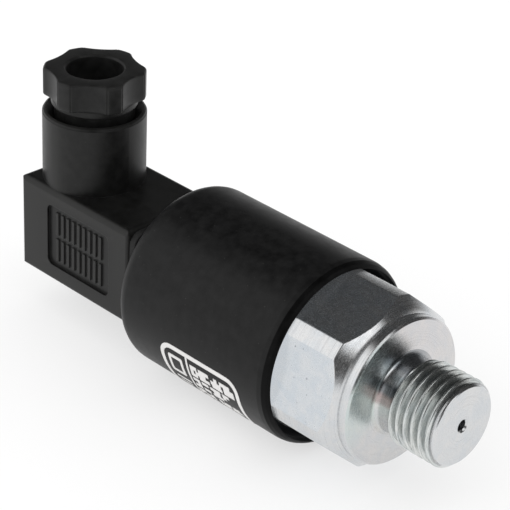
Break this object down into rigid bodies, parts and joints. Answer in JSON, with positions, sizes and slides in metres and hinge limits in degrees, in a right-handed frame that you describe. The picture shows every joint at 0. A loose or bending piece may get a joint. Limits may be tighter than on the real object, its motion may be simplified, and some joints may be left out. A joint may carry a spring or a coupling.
{
  "type": "pressure switch",
  "caption": "Cylindrical piston pressure switch: hexagon steel body with a short threaded port, black sleeve housing and a small angled cable plug with a lobed gland nut.",
  "frame": {"origin": "centre of the port's flat sealing face, on the thread axis", "axes": "+X out of the port along the thread axis, +Z along the cable gland, Y across the plug block"},
  "size_m": [0.0843, 0.0286, 0.0402],
  "materials": {
    "zinc_steel": "bright zinc plated, turned",
    "hard_steel": "ground",
    "steel_grey": "turned, satin",
    "spring_steel": "drawn wire, lightly oiled",
    "brass": "machined",
    "tinned_brass": "tin plated, stamped",
    "contact_bronze": "rolled strip",
    "nbr": "moulded, matt",
    "ptfe": "smooth, waxy",
    "natural_plastic": "moulded, satin",
    "switch_plastic": "moulded, fine grain",
    "button_plastic": "moulded",
    "wire_insulation": "extruded",
    "insert_plastic": "moulded",
    "black_nylon_sleeve": "black, finely grained satin",
    "black_plug_plastic": "black, moulded satin",
    "label_print": "matt white print"
  },
  "bodies": {
    "housing": {"body_hex": "zinc_steel", "piston_seal": "nbr", "backup_ring": "ptfe", "guide_bush": "brass", "adjusting_spring": "spring_steel", "sleeve_housing": "black_nylon_sleeve", "sleeve_seal": "nbr", "switch_carrier": "natural_plastic", "switch_case": "switch_plastic", "switch_cover": "switch_plastic", "terminal_common": "tinned_brass", "terminal_no": "tinned_brass", "terminal_nc": "tinned_brass", "switch_screws": "zinc_steel", "lead_wires": "wire_insulation", "earth_strap": "contact_bronze", "connector_base": "black_plug_plastic", "contact_blades": "tinned_brass", "earth_blade": "tinned_brass", "threaded_insert": "brass", "flange_gasket": "nbr", "type_label": "label_print"},
    "piston_stack": {"piston": "hard_steel", "spring_seat": "steel_grey", "push_rod": "hard_steel"},
    "switch_button": {"switch_button": "button_plastic"},
    "contact_arm": {"contact_arm": "contact_bronze"},
    "thrust_ring": {"thrust_ring": "steel_grey"},
    "adjuster": {"adjusting_screw": "brass"},
    "plug": {"plug_housing": "black_plug_plastic", "plug_insert": "insert_plastic", "plug_contacts": "tinned_brass", "plug_earth_contact": "tinned_brass", "terminal_screws": "zinc_steel", "gland_seal": "nbr"},
    "screw_washer": {"screw_washer": "steel_grey"},
    "fixing_screw": {"fixing_screw": "zinc_steel"},
    "gland_washer": {"gland_washer": "natural_plastic"},
    "gland_nut": {"gland_nut": "black_plug_plastic"}
  },
  "joints": [
    {"name": "piston_stroke", "type": "slide", "parent": "housing", "child": "piston_stack", "axis": [-1, 0, 0], "range_m": [0, 0.00045], "stiffness_N_per_m": 7700, "springref_m": -0.003, "deforming": ["adjusting_spring"]},
    {"name": "button_stroke", "type": "slide", "parent": "housing", "child": "switch_button", "axis": [-1, 0, 0], "range_m": [0, 0.00045]},
    {"name": "contact_swing", "type": "hinge", "parent": "housing", "child": "contact_arm", "pos_m": [-0.03037, 0, -0.0074], "axis": [0, -1, 0], "range_deg": [0, 3.5]},
    {"name": "adjust_travel", "type": "slide", "parent": "housing", "child": "thrust_ring", "axis": [1, 0, 0], "range_m": [0, 0.002], "deforming": ["adjusting_spring"]},
    {"name": "adjust_turn", "type": "hinge", "parent": "thrust_ring", "child": "adjuster", "pos_m": [-0.0245, 0, 0], "axis": [1, 0, 0], "range_deg": [0, 720.5]},
    {"name": "plug_pull", "type": "slide", "parent": "housing", "child": "plug", "axis": [-1, 0, 0], "range_m": [0, 0.02]},
    {"name": "screw_travel", "type": "slide", "parent": "plug", "child": "screw_washer", "axis": [-1, 0, 0], "range_m": [0, 0.0036]},
    {"name": "screw_turn", "type": "hinge", "parent": "screw_washer", "child": "fixing_screw", "pos_m": [-0.0707, 0, 0], "axis": [-1, 0, 0], "range_deg": [0, 2881]},
    {"name": "gland_travel", "type": "slide", "parent": "plug", "child": "gland_washer", "axis": [0, 0, -1], "range_m": [0, 0.0009], "deforming": ["gland_seal"]},
    {"name": "gland_turn", "type": "hinge", "parent": "gland_washer", "child": "gland_nut", "pos_m": [-0.0653, 0, 0.0205], "axis": [0, 0, -1], "range_deg": [0, 255.5]}
  ],
  "couplings": [
    {"joint": "button_stroke", "follows": "piston_stroke", "ratio": 1},
    {"joint": "contact_swing", "follows": "piston_stroke", "rad_per_m": 135.13},
    {"joint": "adjust_turn", "follows": "adjust_travel", "rad_per_m": 6283.2},
    {"joint": "screw_turn", "follows": "screw_travel", "rad_per_m": 13963},
    {"joint": "gland_turn", "follows": "gland_travel", "rad_per_m": 4947.4}
  ]
}
